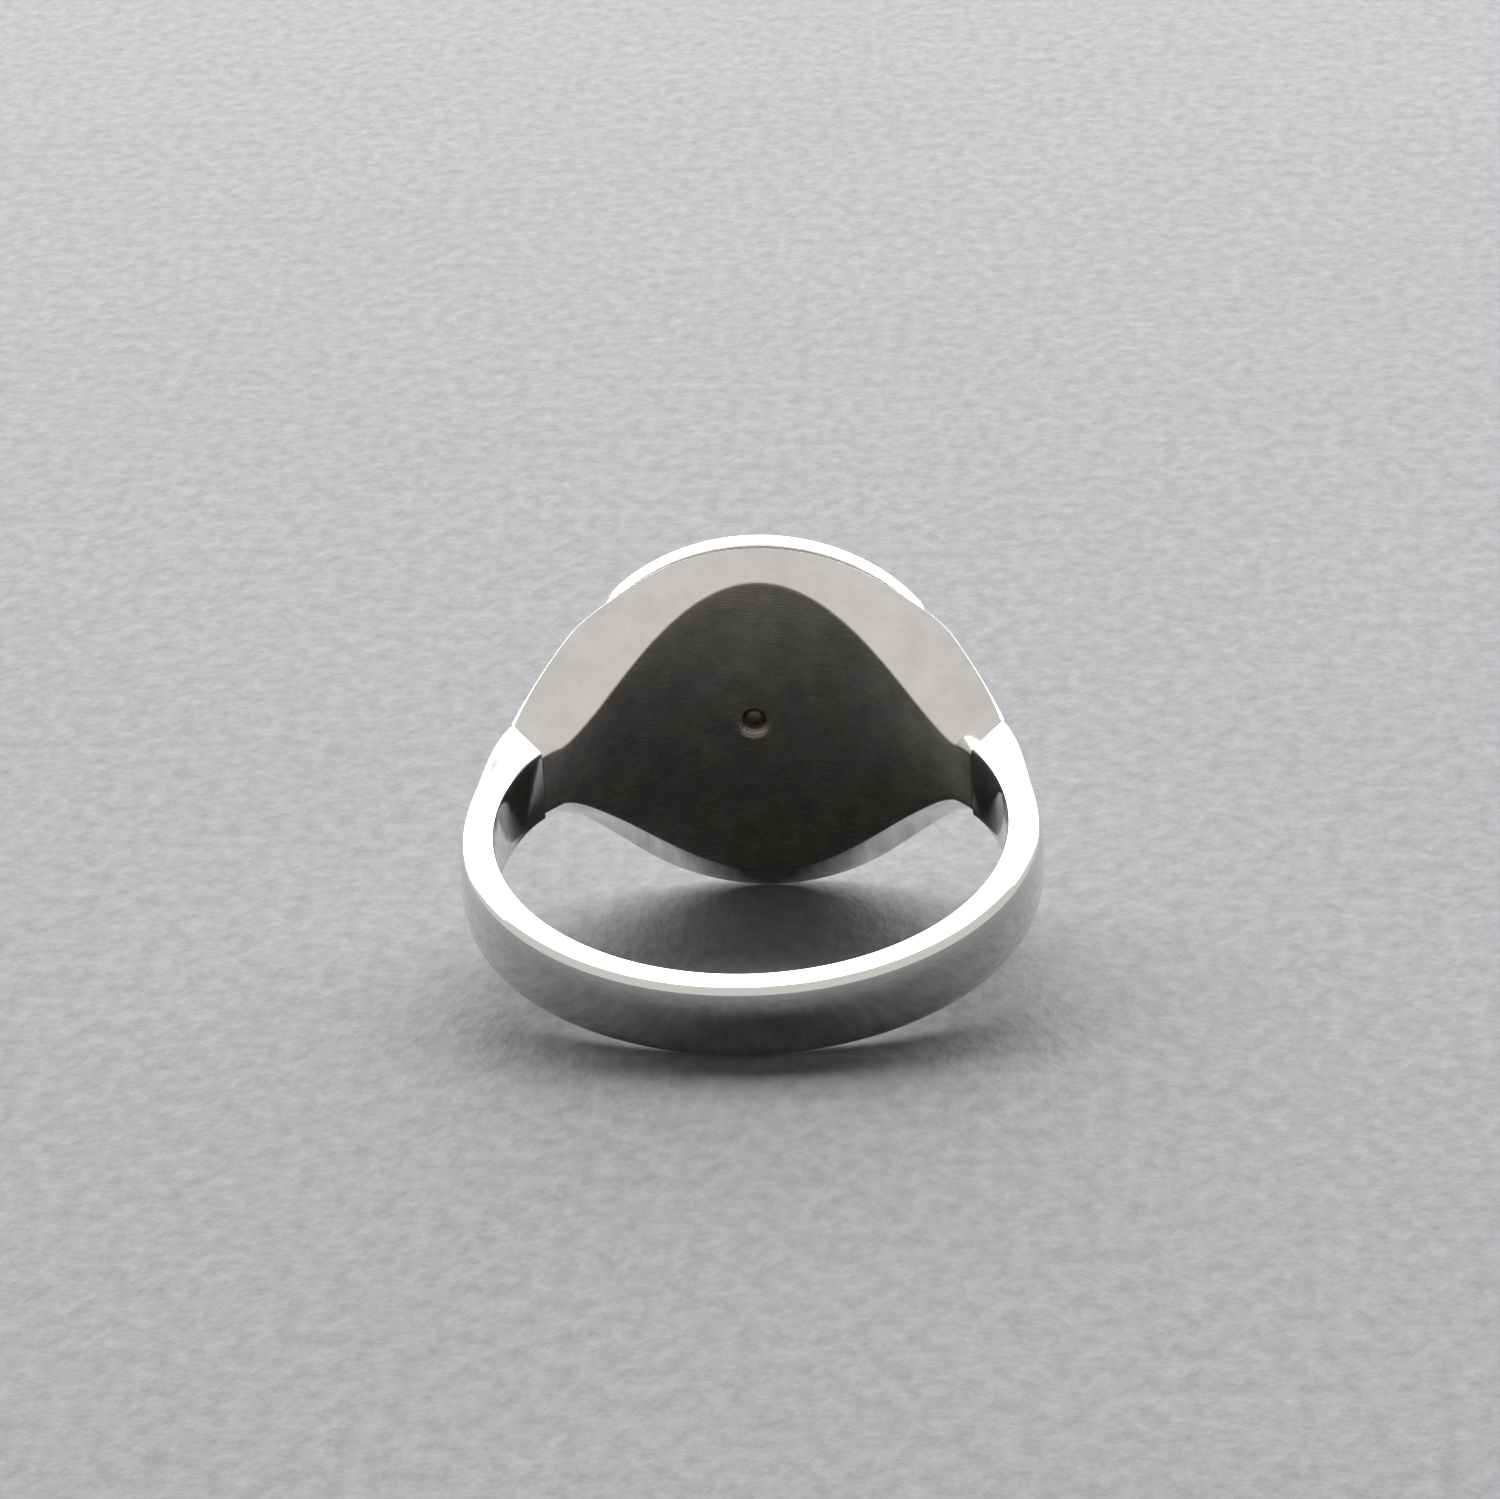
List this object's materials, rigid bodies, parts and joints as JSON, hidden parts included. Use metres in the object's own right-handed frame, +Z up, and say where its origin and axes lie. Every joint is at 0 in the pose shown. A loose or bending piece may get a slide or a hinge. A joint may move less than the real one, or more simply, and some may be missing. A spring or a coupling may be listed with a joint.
{
  "type": "signet ring",
  "caption": "Plain round-table signet ring: a flared head with shoulders joined to a domed shank, a table plate soldered and pinned on its front.",
  "frame": {"origin": "on the surface the ring lies on, at the middle of its box", "axes": "+Z up, +Y from the shank towards the head, +X across the shoulders; the finger hole's axis leans 17.7 degrees from +Z towards the shank"},
  "size_m": [0.0196, 0.0216, 0.0135],
  "materials": {
    "polished_silver": "hand-polished sterling silver",
    "satin_silver": "sterling silver, polished sides, satin-brushed finger side",
    "silver_solder": "cleaned hard solder, slightly duller than the silver",
    "warm_alloy": "upset end of a reddish alloy pin"
  },
  "bodies": {
    "root": {"shank": "polished_silver", "head": "satin_silver", "table_plate": "polished_silver", "centre_pin": "warm_alloy", "solder_left_shoulder": "silver_solder", "solder_right_shoulder": "silver_solder", "solder_table_plate": "silver_solder"}
  },
  "joints": []
}
